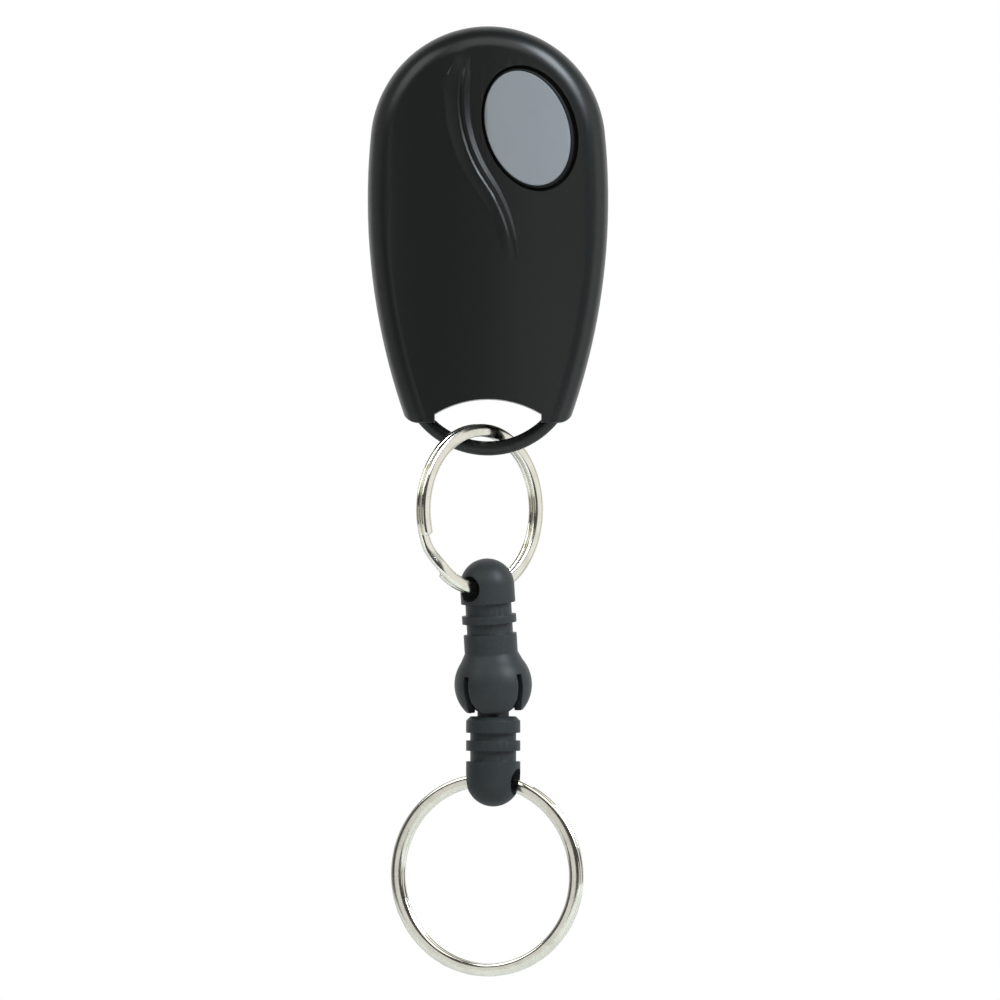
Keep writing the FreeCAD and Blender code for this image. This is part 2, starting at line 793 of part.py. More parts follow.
def turned(shape, angle, away=0.0):
    """Copy of a section at angle 0, turned round the ring's axis and moved along it."""
    copy = shape.copy()
    copy.Placement = Placement(Vector(0, away, 0), Rotation(BACK * -1, angle))
    return copy


def wire_section(outer_radius, width, thickness):
    """Outline of a flattened wire, on the ring's right-hand side."""
    near = outer_radius - width
    half = thickness / 2
    corners = ((near, -half), (outer_radius, -half), (outer_radius, half), (near, half), (near, -half))
    return Part.makePolygon([Vector(x, y, 0) for x, y in corners])


def split_ring(outer_radius, width, thickness, jog_start, jog_span):
    """One flattened wire wound twice: a rear turn, a crossing at the jog and a front turn."""
    section = wire_section(outer_radius, width, thickness)
    away = (thickness + turn_gap) / 2
    sense = 1 if jog_span > 0 else -1
    jog_end = jog_start + jog_span
    turn = 360 - abs(jog_span)
    steps = 6
    crossing = []
    for i in range(steps + 1):
        share = i / steps
        crossing.append(turned(section, jog_start + jog_span * share, away * (1 - 2 * ease(share))))
    ring = Part.makeLoft(crossing, True, True)
    rear_start = jog_end + sense * coil_end_gap / 4
    rear_sweep = turn - coil_end_gap / 4
    rear = Part.Face(turned(section, jog_start, away)).revolve(Vector(), BACK * sense, rear_sweep)
    front = Part.Face(turned(section, jog_end, -away)).revolve(Vector(), BACK * -sense, turn - coil_end_gap)
    return ring.fuse(rear).fuse(front).removeSplitter()


def round_profile(edges):
    """Solid turned from a closed profile in the XZ plane."""
    return Part.Face(Part.Wire(edges)).revolve(Vector(), UP, 360)


def polyline(points):
    """Straight edges through (radius, height) points."""
    places = [Vector(r, 0, z) for r, z in points]
    return [line(a, b) for a, b in zip(places, places[1:])]


def quarter(height, radius, sense):
    """Quarter circle from the axis to its widest point, above (1) or below (-1) its centre."""
    bend = math.radians(45)
    return arc(
        Vector(0, 0, height + sense * radius),
        Vector(radius * math.cos(bend), 0, height + sense * radius * math.sin(bend)),
        Vector(radius, 0, height),
    )


def swivel_socket():
    """Upper half of the connector: cross-drilled dome, ribbed neck and a ball socket of four fingers."""
    top = socket_dome_height + body_radius
    rib = socket_levels
    flare_r = barrel_radius + socket_neck_flare
    flare_z = math.sqrt(socket_radius ** 2 - flare_r ** 2)
    tip_r = math.sqrt(socket_radius ** 2 - socket_tip_drop ** 2)
    roof = math.radians(socket_roof_slope)
    lip = math.radians(socket_lip_slope)
    cavity = socket_cavity_radius
    roof_r = (cavity - socket_cavity_top * math.sin(roof)) / math.cos(roof)
    mouth_z = (socket_mouth_radius * math.cos(lip) - cavity) / math.sin(lip)
    edges = [quarter(socket_dome_height, body_radius, 1)]
    edges += polyline([
        (body_radius, socket_dome_height), (body_radius, rib[0]), (waist_radius, rib[0]), (waist_radius, rib[1]),
        (body_radius, rib[1]), (body_radius, rib[2]), (waist_radius, rib[2]), (waist_radius, rib[3]),
        (barrel_radius, rib[3]), (barrel_radius, flare_z + 2 * socket_neck_flare), (flare_r, flare_z),
    ])
    edges.append(arc(Vector(flare_r, 0, flare_z), Vector(socket_radius, 0, 0), Vector(tip_r, 0, -socket_tip_drop)))
    edges += polyline([
        (tip_r, -socket_tip_drop), (socket_mouth_radius, -socket_tip_drop), (socket_mouth_radius, mouth_z),
        (cavity, -cavity * math.tan(lip / 2)), (cavity, cavity * math.tan(roof / 2)),
        (roof_r, socket_cavity_top), (0, socket_cavity_top), (0, top),
    ])
    socket = round_profile(edges)
    half = socket_slot_width / 2
    far = 2 * socket_radius
    flared = half + socket_tip_flare
    slot = [(half, socket_slot_top), (half, socket_flare_height - socket_tip_drop), (flared, -socket_tip_drop), (flared, -far)]
    slot += [(-across, height) for across, height in slot[::-1]]
    socket = socket.cut(prism([Vector(-far, across, height) for across, height in slot], RIGHT * 2 * far))
    socket = socket.cut(prism([Vector(across, -far, height) for across, height in slot], BACK * 2 * far))
    return socket.cut(cylinder(socket_hole_radius, Vector(-far, 0, socket_hole_height), RIGHT, 2 * far))


def swivel_ball():
    """Lower half of the connector: snap ball, neck, ribbed body and cross-drilled rounded end."""
    radius = socket_cavity_radius - ball_clearance
    top_r = math.sqrt(radius ** 2 - ball_top_height ** 2)
    neck_z = -math.sqrt(radius ** 2 - ball_neck_radius ** 2)
    rib = [-drop for drop in ball_levels]
    edges = polyline([(0, ball_top_height), (top_r, ball_top_height)])
    edges.append(arc(Vector(top_r, 0, ball_top_height), Vector(radius, 0, 0), Vector(ball_neck_radius, 0, neck_z)))
    edges += polyline([
        (ball_neck_radius, neck_z), (ball_neck_radius, -ball_shoulder_drop),
        (body_radius - ball_shoulder_chamfer, -ball_shoulder_drop),
        (body_radius, -ball_shoulder_drop - ball_shoulder_chamfer), (body_radius, rib[0]), (waist_radius, rib[0]),
        (waist_radius, rib[1]), (body_radius, rib[1]), (body_radius, rib[2]), (waist_radius, rib[2]),
        (waist_radius, rib[3]), (body_radius, rib[3]), (body_radius, -ball_body_drop),
    ])
    edges.append(quarter(-ball_body_drop, body_radius, -1))
    edges += polyline([(0, -ball_body_drop - body_radius), (0, ball_top_height)])
    ball = round_profile(edges)
    far = 2 * body_radius
    return ball.cut(cylinder(ball_hole_radius, Vector(-far, 0, -ball_hole_drop), RIGHT, 2 * far))


def wire_line(outer_radius, width, half_span, offset):
    """Distances of a ring's wire from its centre at an offset: its middle line, and how far it bends by the hole's ends."""
    radius = outer_radius - width / 2
    return math.sqrt(radius ** 2 - offset ** 2), radius - math.sqrt(radius ** 2 - half_span ** 2)


def chain_places():
    """Centres and attitudes of the ring, connector and key ring, as they hang from the bail."""
    turn = Rotation(UP, small_ring_turn)
    small = Vector(small_ring_x, parting_y + small_ring_bail_offset, -small_ring_drop)
    reach, bend = wire_line(small_ring_radius, small_ring_width, body_radius, ring_hole_offset)
    along = turn.multVec(RIGHT)
    upper_axis = small + along * ring_hole_offset - UP * (reach - bend / 2)
    lean = turn.multiply(Rotation(BACK, -connector_lean))
    ball = upper_axis - lean.multVec(UP) * (socket_hole_height + wire_above_socket_hole)
    lower_turn = Rotation(UP, large_ring_turn)
    lower_axis = ball - UP * (ball_hole_drop + wire_below_ball_hole)
    reach, bend = wire_line(large_ring_radius, large_ring_width, body_radius, large_ring_shift)
    large = lower_axis - lower_turn.multVec(RIGHT) * large_ring_shift - UP * (reach - bend / 2)
    return {
        "small_split_ring": Placement(small, turn),
        "swivel_socket": Placement(ball, lean),
        "swivel_ball": Placement(ball, lower_turn),
        "large_split_ring": Placement(large, lower_turn),
        "bail_line": Placement(Vector(0, parting_y, -bail_centre_drop - bail_bend_radius), Rotation()),
        "socket_hole_line": Placement(ball + lean.multVec(UP) * socket_hole_height, lean),
        "ball_hole_line": Placement(ball - UP * ball_hole_drop, lower_turn),
    }


def small_split_ring():
    """Small ring through the bail and the connector's dome."""
    return split_ring(small_ring_radius, small_ring_width, small_wire_thickness, small_jog_start, small_jog_span)


def large_split_ring():
    """Large key ring through the connector's lower end."""
    return split_ring(large_ring_radius, large_ring_width, large_wire_thickness, large_jog_start, large_jog_span)


def build():
    """Every piece of the object by its name."""
    pieces = {
        "front_shell": front_shell(),
        "rear_shell": rear_shell(),
        "case_screw": case_screw(),
        "button_cap": button_cap(),
        "button_face": button_face(),
        "circuit_board": circuit_board(),
        "loop_antenna": loop_antenna(),
        "switch_base": switch_base(),
        "switch_cover": switch_cover(),
        "switch_terminals": switch_terminals(),
        "switch_dome": switch_dome(),
        "switch_plunger": switch_plunger(),
        "coin_cell": coin_cell(),
        "battery_positive_clip": battery_positive_clip(),
        "battery_negative_contact": battery_negative_contact(),
        "encoder_chip": encoder_chip(),
        "encoder_pins": encoder_pins(),
        "saw_resonator": saw_resonator(),
        "rf_transistor": rf_transistor(),
        "chip_resistors": chip_group(resistor_places, resistor_size),
        "chip_capacitors": chip_group(capacitor_places, capacitor_size),
        "chip_inductor": on_board(inductor_place, inductor_size),
        "small_split_ring": small_split_ring(),
        "swivel_socket": swivel_socket(),
        "swivel_ball": swivel_ball(),
        "large_split_ring": large_split_ring(),
    }
    for name, place in chain_places().items():
        if name in pieces:
            pieces[name].Placement = place
        else:
            axis = place.Rotation.multVec(RIGHT)
            print(name, "at", [round(c, 4) for c in place.Base], "along", [round(c, 5) for c in axis])
    return pieces


def main():
    """Writes one STEP file for each piece."""
    os.makedirs(OUT, exist_ok=True)
    for name, piece in build().items():
        solids = piece if isinstance(piece, list) else piece.Solids
        shape = solids[0] if len(solids) == 1 else Part.makeCompound(solids)
        shape.exportStep(os.path.join(OUT, name + ".step"))
        print(name, "solids", len(solids), "volume", round(shape.Volume, 2), "valid", shape.isValid())


main()
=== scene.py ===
"""Finishes, light and camera for a key fob transmitter hanging with its chain of rings and connector.

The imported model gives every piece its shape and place. This script rounds the sharp edges of the pieces that
show, winds the two split rings again with the crowned faces of rolled wire, gives each piece its material and
sets up a plain pale studio. Lengths are metres, in the model's frame.
"""

from __future__ import annotations

import logging
import math
from dataclasses import dataclass, field
from enum import Enum
from typing import Iterable, Sequence

import bmesh
import bpy
from mathutils import Matrix, Vector

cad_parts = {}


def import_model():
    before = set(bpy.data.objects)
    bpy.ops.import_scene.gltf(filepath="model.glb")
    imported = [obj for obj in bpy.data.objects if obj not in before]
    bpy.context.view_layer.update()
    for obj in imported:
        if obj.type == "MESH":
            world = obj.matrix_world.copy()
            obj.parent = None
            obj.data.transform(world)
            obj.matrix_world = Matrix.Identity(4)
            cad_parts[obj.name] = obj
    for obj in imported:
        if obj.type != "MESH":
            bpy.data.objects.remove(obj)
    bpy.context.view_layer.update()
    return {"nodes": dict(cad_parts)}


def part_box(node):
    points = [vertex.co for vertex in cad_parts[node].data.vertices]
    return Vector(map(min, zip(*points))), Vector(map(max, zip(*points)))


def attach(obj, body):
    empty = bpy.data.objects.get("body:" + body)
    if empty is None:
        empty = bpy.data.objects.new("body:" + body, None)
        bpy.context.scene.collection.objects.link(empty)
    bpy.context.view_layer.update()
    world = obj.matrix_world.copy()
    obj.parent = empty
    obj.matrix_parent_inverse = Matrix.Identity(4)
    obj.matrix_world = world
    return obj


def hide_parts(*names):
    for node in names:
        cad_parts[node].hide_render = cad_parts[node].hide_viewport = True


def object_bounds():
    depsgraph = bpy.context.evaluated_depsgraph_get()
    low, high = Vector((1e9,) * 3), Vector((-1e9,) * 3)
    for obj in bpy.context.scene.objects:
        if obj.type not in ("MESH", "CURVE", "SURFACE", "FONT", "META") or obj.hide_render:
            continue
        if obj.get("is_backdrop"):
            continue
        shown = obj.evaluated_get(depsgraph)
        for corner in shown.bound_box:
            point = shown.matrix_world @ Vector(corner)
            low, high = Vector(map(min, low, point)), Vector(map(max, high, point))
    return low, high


Colour = tuple[float, float, float]
Point = tuple[float, float, float]
Socket = bpy.types.NodeSocket

LOG = logging.getLogger("key_fob")
MM = 0.001

# The photograph: its pixels for each millimetre, its side in pixels, and the pixel of the model's origin.
PICTURE_SCALE = 7.2
PICTURE_SIDE = 1000
PICTURE_CENTRE = (488.0, 200.0)

# Spacing of the nodes on a sheet, and how many rows they are staggered over.
COLUMN_WIDTH = 190.0
ROW_HEIGHT = 60.0
ROW_COUNT = 4

# Points closer than this are one point, and how far the larger faces lead the shading.
WELD_GAP = 0.0001 * MM
FACE_WEIGHT = 60


class Streak(Enum):
    """How the fine marks of a metal surface run."""

    ROUND_THE_RING = "round"
    SCATTERED = "scattered"


class NodeSheet:
    """The nodes and links of one node tree, placed from left to right as they are added."""

    def __init__(self, tree: bpy.types.NodeTree) -> None:
        """Keeps the tree and starts at its left edge.

        Args:
            tree: The node tree to fill.
        """
        self.tree = tree
        self.column = 0

    def add(self, kind: str, label: str = "", **settings: object) -> bpy.types.Node:
        """Adds a node.

        Args:
            kind: The node's Blender type, such as ShaderNodeMath.
            label: What the node does here.
            **settings: Attributes set on the node itself.

        Returns:
            The new node.
        """
        node = self.tree.nodes.new(kind)
        node.location = (self.column * COLUMN_WIDTH, -ROW_HEIGHT * (self.column % ROW_COUNT))
        node.label = label
        self.column += 1
        for name, value in settings.items():
            setattr(node, name, value)
        return node

    def wire(self, source: Socket, target: Socket) -> None:
        """Links one socket to another."""
        self.tree.links.new(source, target)

    def math(self, operation: str, first: object, second: object = 0.0, third: object = 0.0) -> Socket:
        """Adds a Math node.

        Args:
            operation: The Math node's operation.
            first: A socket or a number.
            second: A socket or a number.
            third: A socket or a number.

        Returns:
            The socket with the result.
        """
        node = self.add("ShaderNodeMath", operation.lower(), operation=operation)
        for index, value in enumerate((first, second, third)):
            if isinstance(value, Socket):
                self.wire(value, node.inputs[index])
            else:
                node.inputs[index].default_value = value
        return node.outputs[0]

    def vector_math(self, operation: str, first: object, second: object = (0.0, 0.0, 0.0)) -> bpy.types.Node:
        """Adds a Vector Math node.

        Args:
            operation: The node's operation.
            first: A socket or a vector.
            second: A socket or a vector.

        Returns:
            The node, whose outputs are Vector and Value.
        """
        node = self.add("ShaderNodeVectorMath", operation.lower(), operation=operation)
        for index, value in enumerate((first, second)):
            if isinstance(value, Socket):
                self.wire(value, node.inputs[index])
            else:
                node.inputs[index].default_value = value
        return node

    def noise(self, vector: Socket, scale: float, detail: float, roughness: float = 0.5) -> Socket:
        """Adds a Noise Texture.

        Args:
            vector: Where the noise is read.
            scale: Cells for each metre.
            detail: Octaves.
            roughness: Strength of the finer octaves.

        Returns:
            The noise's value socket, around 0.5.
        """
        node = self.add("ShaderNodeTexNoise", "noise")
        self.wire(vector, node.inputs["Vector"])
        node.inputs["Scale"].default_value = scale
        node.inputs["Detail"].default_value = detail
        node.inputs["Roughness"].default_value = roughness
        return node.outputs["Fac"]

    def spread(self, value: Socket, source: Sequence[float], target: Sequence[float]) -> Socket:
        """Maps a value from one range to another and clamps it.

        Args:
            value: The socket to map.
            source: Its lowest and highest value.
            target: What these become.

        Returns:
            The mapped value's socket.
        """
        node = self.add("ShaderNodeMapRange", "spread", clamp=True)
        self.wire(value, node.inputs["Value"])
        for name, number in zip(("From Min", "From Max", "To Min", "To Max"), (*source, *target)):
            node.inputs[name].default_value = number
        return node.outputs["Result"]

    def blend(self, share: Socket, low: object, high: object) -> Socket:
        """Mixes two colours.

        Args:
            share: 0 for low, 1 for high.
            low: A socket or a colour.
            high: A socket or a colour.

        Returns:
            The mixed colour's socket.
        """
        node = self.add("ShaderNodeMix", "blend", data_type="RGBA")
        self.wire(share, node.inputs[0])
        for socket, value in ((node.inputs[6], low), (node.inputs[7], high)):
            if isinstance(value, Socket):
                self.wire(value, socket)
            else:
                socket.default_value = (*value, 1.0)
        return node.outputs[2]


class EffectGroup:
    """A shader effect that several materials use, kept as one node group."""

    name = "effect"
    inputs: tuple[tuple[str, str, object], ...] = ()
    outputs: tuple[str, ...] = ()

    def tree(self) -> bpy.types.NodeTree:
        """Builds the group, or finds it if it is there already.

        Returns:
            The node group.
        """
        found = bpy.data.node_groups.get(self.name)
        if found is not None:
            return found
        tree = bpy.data.node_groups.new(self.name, "ShaderNodeTree")
        for label, kind, value in self.inputs:
            socket = tree.interface.new_socket(name=label, in_out="INPUT", socket_type=kind)
            if kind == "NodeSocketFloat":
                socket.default_value = value
        for label in self.outputs:
            tree.interface.new_socket(name=label, in_out="OUTPUT", socket_type="NodeSocketFloat")
        sheet = NodeSheet(tree)
        entry = sheet.add("NodeGroupInput")
        results = self.fill(sheet, entry)
        leave = sheet.add("NodeGroupOutput")
        for label, socket in zip(self.outputs, results):
            sheet.wire(socket, leave.inputs[label])
        return tree

    def fill(self, sheet: NodeSheet, entry: bpy.types.Node) -> tuple[Socket, ...]:
        """Adds the effect's nodes.

        Args:
            sheet: The group's sheet.
            entry: The group's input node.

        Returns:
            One socket for each name in outputs.
        """
        raise NotImplementedError

    def place(self, sheet: NodeSheet, vector: Socket, **values: object) -> bpy.types.Node:
        """Puts the group into a material.

        Args:
            sheet: The material's sheet.
            vector: The coordinates that the effect follows.
            **values: Values of the group's other inputs, with _ for a space.

        Returns:
            The group's node.
        """
        node = sheet.add("ShaderNodeGroup", self.name)
        node.node_tree = self.tree()
        sheet.wire(vector, node.inputs["Vector"])
        for key, value in values.items():
            node.inputs[key.replace("_", " ")].default_value = value
        return node


class MouldGrain(EffectGroup):
    """Fine even texture that a moulded plastic takes from its tool, with slow patches of handling polish.

    Attributes:
        pit_scale: Size of the grain against that of the wider pits.
        pit_share: Height of the pits against the grain's.
        speck_scale: Size of the grain against that of the specks.
        polish_ends: Noise at which the polish starts and is full.
        speck_ends: Noise at which a speck starts and is full.
    """

    pit_scale = 0.31
    pit_share = 0.8
    speck_scale = 0.6
    polish_ends = (0.25, 0.75)
    speck_ends = (0.3, 0.7)
    name = "mould grain"
    inputs = (
        ("Vector", "NodeSocketVector", None),
        ("Grain", "NodeSocketFloat", 5200.0),
        ("Patch", "NodeSocketFloat", 160.0),
    )
    outputs = ("Height", "Polish", "Speck")

    def fill(self, sheet: NodeSheet, entry: bpy.types.Node) -> tuple[Socket, ...]:
        """Adds two noises for the grain, one for the polish and one for the specks.

        Args:
            sheet: The group's sheet.
            entry: The group's input node.

        Returns:
            The sockets of the height, the polish and the specks.
        """
        vector = entry.outputs["Vector"]
        fine = sheet.vector_math("SCALE", vector)
        sheet.wire(entry.outputs["Grain"], fine.inputs["Scale"])
        coarse = sheet.vector_math("SCALE", vector)
        sheet.wire(entry.outputs["Patch"], coarse.inputs["Scale"])
        grain = sheet.noise(fine.outputs["Vector"], 1.0, 3.0, 0.6)
        pits = sheet.noise(fine.outputs["Vector"], self.pit_scale, 2.0, 0.5)
        height = sheet.math("MULTIPLY_ADD", pits, self.pit_share, grain)
        patches = sheet.noise(coarse.outputs["Vector"], 1.0, 4.0, 0.55)
        polish = sheet.spread(patches, self.polish_ends, (0.0, 1.0))
        specks = sheet.noise(fine.outputs["Vector"], self.speck_scale, 1.0)
        speck = sheet.spread(specks, self.speck_ends, (0.0, 1.0))
        return height, polish, speck


class WireStreaks(EffectGroup):
    """Drawing lines that run round a ring of flattened wire, and the dull patches where it rubs.

    Attributes:
        rub_scale: Dull patches for each metre.
        rub_ends: Noise at which a patch starts and is full.
    """

    rub_scale = 420.0
    rub_ends = (0.42, 0.72)
    name = "wire streaks"
    inputs = (
        ("Vector", "NodeSocketVector", None),
        ("Centre", "NodeSocketVector", None),
        ("Axis", "NodeSocketVector", None),
        ("Fineness", "NodeSocketFloat", 9000.0),
    )
    outputs = ("Height", "Dullness")

    def fill(self, sheet: NodeSheet, entry: bpy.types.Node) -> tuple[Socket, ...]:
        """Reads noise by the distance along and from the ring's axis, so that it runs round the ring.

        Args:
            sheet: The group's sheet.
            entry: The group's input node.

        Returns:
            The sockets of the height and the dullness.
        """
        vector, centre, axis = (entry.outputs[label] for label in ("Vector", "Centre", "Axis"))
        local = sheet.vector_math("SUBTRACT", vector, centre).outputs["Vector"]
        along = sheet.vector_math("DOT_PRODUCT", local, axis).outputs["Value"]
        across = sheet.vector_math("CROSS_PRODUCT", local, axis).outputs["Vector"]
        radius = sheet.vector_math("LENGTH", across).outputs["Value"]
        place = sheet.add("ShaderNodeCombineXYZ")
        fineness = entry.outputs["Fineness"]
        sheet.wire(sheet.math("MULTIPLY", radius, fineness), place.inputs[0])
        sheet.wire(sheet.math("MULTIPLY", along, fineness), place.inputs[1])
        streaks = sheet.noise(place.outputs["Vector"], 1.0, 3.0, 0.6)
        rub = sheet.spread(sheet.noise(vector, self.rub_scale, 3.0, 0.6), self.rub_ends, (0.0, 1.0))
        return streaks, rub


@dataclass(frozen=True)
class MouldedPlastic:
    """A moulded plastic with the fine texture of its tool.

    Attributes:
        name: The material's name.
        colour: Linear colour of the plastic.
        polished: Linear colour where handling has polished it.
        rough: Roughness where it is dull.
        smooth: Roughness where it is polished.
        grain: Grain cells for each metre.
        patch: Polished patches for each metre.
        depth: Height of the grain, in metres.
        ior: Refractive index, which sets the strength of the reflections.
        speck_share: How much of the change in colour comes from the specks, the rest being polish.
    """

    name: str
    colour: Colour
    polished: Colour
    rough: float
    smooth: float
    grain: float = 5200.0
    patch: float = 160.0
    depth: float = 0.000004
    ior: float = 1.45
    speck_share: float = 0.35

    def make(self) -> bpy.types.Material:
        """Builds the material.

        Returns:
            The finished material.
        """
        material, sheet, shader = blank_material(self.name)
        place = sheet.add("ShaderNodeTexCoord").outputs["Object"]
        grain = MouldGrain().place(sheet, place, Grain=self.grain, Patch=self.patch)
        polish = grain.outputs["Polish"]
        polished = sheet.math("MULTIPLY", polish, 1.0 - self.speck_share)
        shade = sheet.math("MULTIPLY_ADD", grain.outputs["Speck"], self.speck_share, polished)
        sheet.wire(sheet.blend(shade, self.colour, self.polished), shader.inputs["Base Color"])
        sheet.wire(sheet.spread(polish, (0.0, 1.0), (self.rough, self.smooth)), shader.inputs["Roughness"])
        raise_surface(sheet, shader, grain.outputs["Height"], self.depth)
        shader.inputs["IOR"].default_value = self.ior
        return material


@dataclass(frozen=True)
class PlatedMetal:
    """A plated or bare metal with fine marks.

    Attributes:
        name: The material's name.
        colour: Linear colour of the metal.
        dull: Linear colour of the rubbed places.
        smooth: Roughness of the bright places.
        rough: Roughness of the rubbed places.
        streak: How the marks run.
        depth: Height of the marks, in metres.
        centre: A point on the axis that the marks run round.
        axis: That axis.
        scatter: Scattered marks for each metre.
        patch: Rubbed patches for each metre, between scattered marks.
    """

    name: str
    colour: Colour
    dull: Colour
    smooth: float
    rough: float
    streak: Streak = Streak.SCATTERED
    depth: float = 0.000002
    centre: Point = (0.0, 0.0, 0.0)
    axis: Point = (0.0, 1.0, 0.0)
    scatter: float = 3800.0
    patch: float = 420.0

    def make(self) -> bpy.types.Material:
        """Builds the material.

        Returns:
            The finished material.
        """
        material, sheet, shader = blank_material(self.name)
        place = sheet.add("ShaderNodeTexCoord").outputs["Object"]
        if self.streak is Streak.ROUND_THE_RING:
            marks = WireStreaks().place(sheet, place, Centre=self.centre, Axis=self.axis)
            height, dull = marks.outputs["Height"], marks.outputs["Dullness"]
        else:
            marks = MouldGrain().place(sheet, place, Grain=self.scatter, Patch=self.patch)
            height, dull = marks.outputs["Height"], marks.outputs["Polish"]
        sheet.wire(sheet.blend(dull, self.colour, self.dull), shader.inputs["Base Color"])
        sheet.wire(sheet.spread(dull, (0.0, 1.0), (self.smooth, self.rough)), shader.inputs["Roughness"])
        raise_surface(sheet, shader, height, self.depth)
        shader.inputs["Metallic"].default_value = 1.0
        return material


def blank_material(name: str) -> tuple[bpy.types.Material, NodeSheet, bpy.types.Node]:
    """Starts a material with one Principled shader.

    Args:
        name: The material's name.

    Returns:
        The material, the sheet of its nodes and its shader.
    """
    material = bpy.data.materials.new(name)
    material.use_nodes = True
    tree = material.node_tree
    tree.nodes.clear()
    sheet = NodeSheet(tree)
    output = sheet.add("ShaderNodeOutputMaterial")
    shader = sheet.add("ShaderNodeBsdfPrincipled")
    sheet.wire(shader.outputs["BSDF"], output.inputs["Surface"])
    return material, sheet, shader


def raise_surface(sheet: NodeSheet, shader: bpy.types.Node, height: Socket, depth: float) -> None:
    """Feeds a height through a Bump node into a shader's normal.

    Args:
        sheet: The material's sheet.
        shader: Its shader.
        height: The height, from 0 to 1.
        depth: What 1 stands for, in metres.
    """
    bump = sheet.add("ShaderNodeBump")
    bump.inputs["Strength"].default_value = 1.0
    bump.inputs["Distance"].default_value = depth
    sheet.wire(height, bump.inputs["Height"])
    sheet.wire(bump.outputs["Normal"], shader.inputs["Normal"])


def dress(node: bpy.types.Object, material: bpy.types.Material) -> None:
    """Gives a piece one material in place of all that it had.

    Args:
        node: The piece.
        material: Its finish.
    """
    node.data.materials.clear()
    node.data.materials.append(material)
    LOG.info("dressed %s in %s", node.name, material.name)


def smooth_form(node: bpy.types.Object, crease: float, edge: float = 0.0, steps: int = 2) -> None:
    """Rounds a piece's sharp edges and shades its curved faces as one surface.

    Args:
        node: The piece, whose own mesh stays as it is.
        crease: Angle in degrees above which an edge stays visible.
        edge: Width in metres of the rounding on sharp edges, or 0 for none.
        steps: Segments of that rounding.
    """
    weld = node.modifiers.new("join faces", "WELD")
    weld.merge_threshold = WELD_GAP
    if edge > 0.0:
        bevel = node.modifiers.new("round edges", "BEVEL")
        bevel.width = edge
        bevel.segments = steps
        bevel.limit_method = "ANGLE"
        bevel.angle_limit = math.radians(crease)
        bevel.use_clamp_overlap = True
    split = node.modifiers.new("keep creases", "EDGE_SPLIT")
    split.split_angle = math.radians(crease)
    even = node.modifiers.new("even normals", "WEIGHTED_NORMAL")
    even.weight = FACE_WEIGHT


@dataclass
class CaseShells:
    """The two black half shells with the moulded key bail, and the screw that joins them.

    Attributes:
        crease: Angle in degrees above which a shell's edge stays visible.
        front_edge: Rounding of the front shell's edges, such as the crests of its ridge.
        edge_steps: Segments of that rounding.
        plastic: The shells' finish.
        screw_metal: The screw's finish.
    """

    crease: float = 30.0
    front_edge: float = 0.09 * MM
    edge_steps: int = 3
    plastic: MouldedPlastic = MouldedPlastic(
        name="black case plastic", colour=(0.0070, 0.0080, 0.0078), polished=(0.0100, 0.0110, 0.0104),
        rough=0.33, smooth=0.28, grain=4200.0, patch=90.0, depth=0.0000030, ior=1.45,
    )
    screw_metal: PlatedMetal = PlatedMetal(
        name="zinc plated screw", colour=(0.58, 0.58, 0.55), dull=(0.40, 0.40, 0.37), smooth=0.28, rough=0.45,
    )

    def build(self, nodes: dict[str, bpy.types.Object]) -> None:
        """Smooths and dresses the shells and the screw.

        Args:
            nodes: The model's pieces by name.
        """
        black = self.plastic.make()
        for name, edge in (("front_shell", self.front_edge), ("rear_shell", 0.0)):
            smooth_form(nodes[name], self.crease, edge, self.edge_steps)
            dress(nodes[name], black)
        smooth_form(nodes["case_screw"], self.crease)
        dress(nodes["case_screw"], self.screw_metal.make())


@dataclass
class PushButton:
    """The oval button: a black cap with a grey face let into it.

    Attributes:
        crease: Angle in degrees above which an edge stays visible.
        face: The grey face's finish.
        cap: The cap's finish.
    """

    crease: float = 50.0
    face: MouldedPlastic = MouldedPlastic(
        name="grey button plastic", colour=(0.216, 0.229, 0.245), polished=(0.232, 0.246, 0.262),
        rough=0.52, smooth=0.44, grain=5200.0, patch=120.0, depth=0.000002, ior=1.35,
    )
    cap: MouldedPlastic = MouldedPlastic(
        name="black button plastic", colour=(0.0066, 0.0074, 0.0076), polished=(0.0100, 0.0110, 0.0108),
        rough=0.50, smooth=0.42, grain=4200.0, patch=200.0, depth=0.000003, ior=1.28,
    )

    def build(self, nodes: dict[str, bpy.types.Object]) -> None:
        """Smooths and dresses the button.

        Args:
            nodes: The model's pieces by name.
        """
        for name, finish in (("button_face", self.face), ("button_cap", self.cap)):
            smooth_form(nodes[name], self.crease)
            dress(nodes[name], finish.make())


